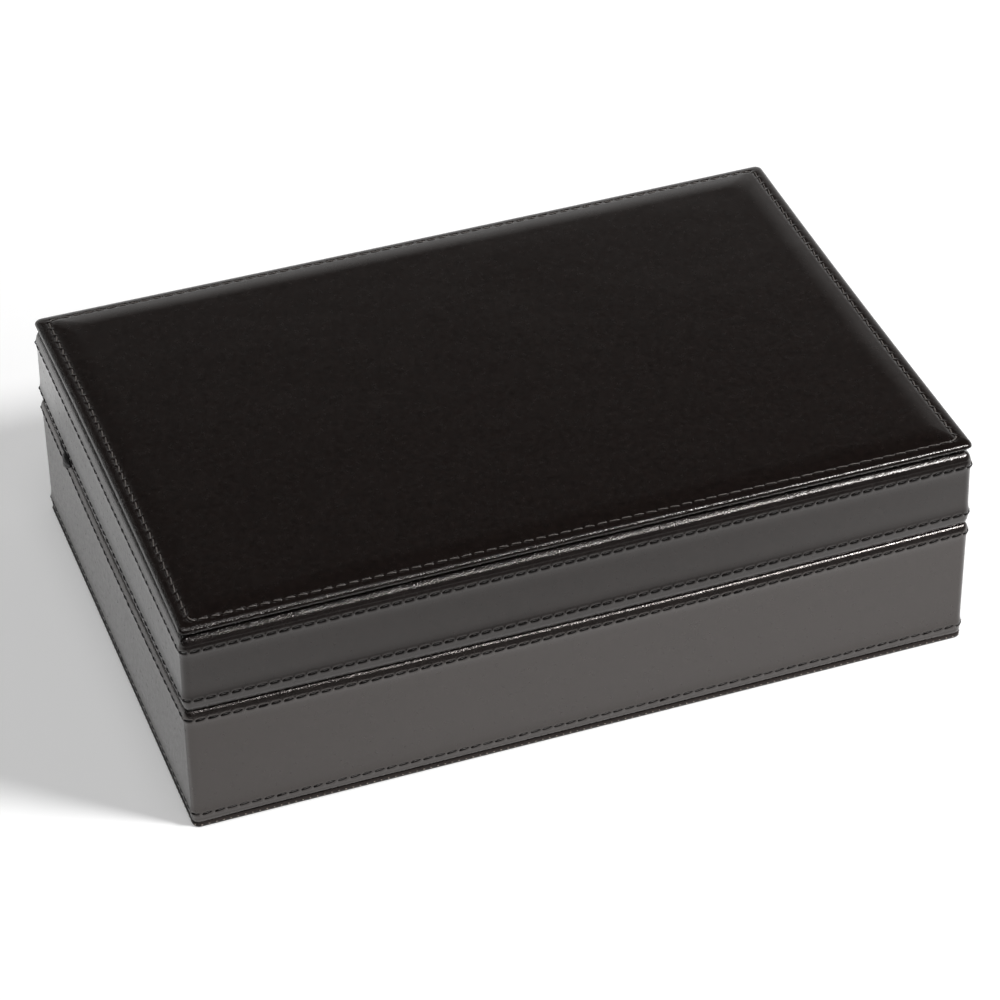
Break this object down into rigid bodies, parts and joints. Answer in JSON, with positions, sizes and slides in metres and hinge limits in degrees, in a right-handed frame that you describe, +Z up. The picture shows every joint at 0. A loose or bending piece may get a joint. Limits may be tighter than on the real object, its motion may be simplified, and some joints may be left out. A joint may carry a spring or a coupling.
{
  "type": "coin display case",
  "caption": "Leatherette-covered box case with a padded hinged lid and stacked lift-out velvet trays of square compartments for coins in capsules.",
  "frame": {"origin": "centre of the case's flat underside, on the surface it stands on", "axes": "+X to the right end, +Y to the rear, hinge side, +Z up"},
  "size_m": [0.242, 0.1627, 0.0728],
  "materials": {
    "leatherette": "semi-gloss embossed polyurethane leatherette",
    "felt": "flocked dark brown felt paper",
    "mdf": "raw fibreboard",
    "greyboard": "raw grey board",
    "foam": "open-cell foam",
    "velvet": "short-pile velvet",
    "satin": "satin-woven cloth",
    "ribbon": "grosgrain ribbon",
    "thread": "bonded sewing thread",
    "hinge_brass": "rolled and tumbled",
    "magnet_nickel": "nickel plated"
  },
  "bodies": {
    "base": {"base_bottom_cover": "felt", "base_floor_board": "mdf", "base_floor_lining": "velvet", "base_leatherette": "leatherette", "base_front_board": "mdf", "base_front_lining": "velvet", "base_rear_board": "mdf", "base_rear_lining": "velvet", "base_left_board": "mdf", "base_left_lining": "velvet", "base_right_board": "mdf", "base_right_lining": "velvet", "base_hinge_leaves": "hinge_brass", "base_hinge_screws": "hinge_brass", "base_strike_discs": "magnet_nickel", "base_lower_stitching": "thread", "base_upper_stitching": "thread", "hinge_pins": "hinge_brass", "left_lid_stay": "ribbon", "right_lid_stay": "ribbon"},
    "lid": {"lid_leatherette": "leatherette", "lid_top_board": "mdf", "lid_cushion": "satin", "lid_front_board": "mdf", "lid_front_lining": "velvet", "lid_rear_board": "mdf", "lid_rear_lining": "velvet", "lid_left_board": "mdf", "lid_left_lining": "velvet", "lid_right_board": "mdf", "lid_right_lining": "velvet", "top_plate_board": "greyboard", "top_plate_foam": "foam", "top_plate_leatherette": "leatherette", "lid_hinge_leaves": "hinge_brass", "lid_hinge_screws": "hinge_brass", "lid_magnets": "magnet_nickel", "lid_lower_stitching": "thread", "lid_upper_stitching": "thread", "top_plate_stitching": "thread"},
    "lower_tray": {"lower_tray_panel": "velvet", "lower_tray_velvet_floor": "velvet", "lower_tray_front_rail": "velvet", "lower_tray_rear_rail": "velvet", "lower_tray_end_rails": "velvet", "lower_tray_long_slats": "velvet", "lower_tray_cross_slats": "velvet", "lower_tray_pull_ribbons": "ribbon"},
    "upper_tray": {"upper_tray_panel": "velvet", "upper_tray_velvet_floor": "velvet", "upper_tray_front_rail": "velvet", "upper_tray_rear_rail": "velvet", "upper_tray_end_rails": "velvet", "upper_tray_long_slats": "velvet", "upper_tray_cross_slats": "velvet", "upper_tray_pull_ribbons": "ribbon"}
  },
  "joints": [
    {"name": "lid_hinge", "type": "hinge", "parent": "base", "child": "lid", "pos_m": [0, 0.0806, 0.0428], "axis": [-1, 0, 0], "range_deg": [0, 95], "deforming": ["left_lid_stay", "right_lid_stay"]},
    {"name": "lower_tray_lift", "type": "slide", "parent": "base", "child": "lower_tray", "axis": [0, 0, 1], "range_m": [0, 0.0055]},
    {"name": "upper_tray_lift", "type": "slide", "parent": "lower_tray", "child": "upper_tray", "axis": [0, 0, 1], "range_m": [0, 0.008]}
  ]
}
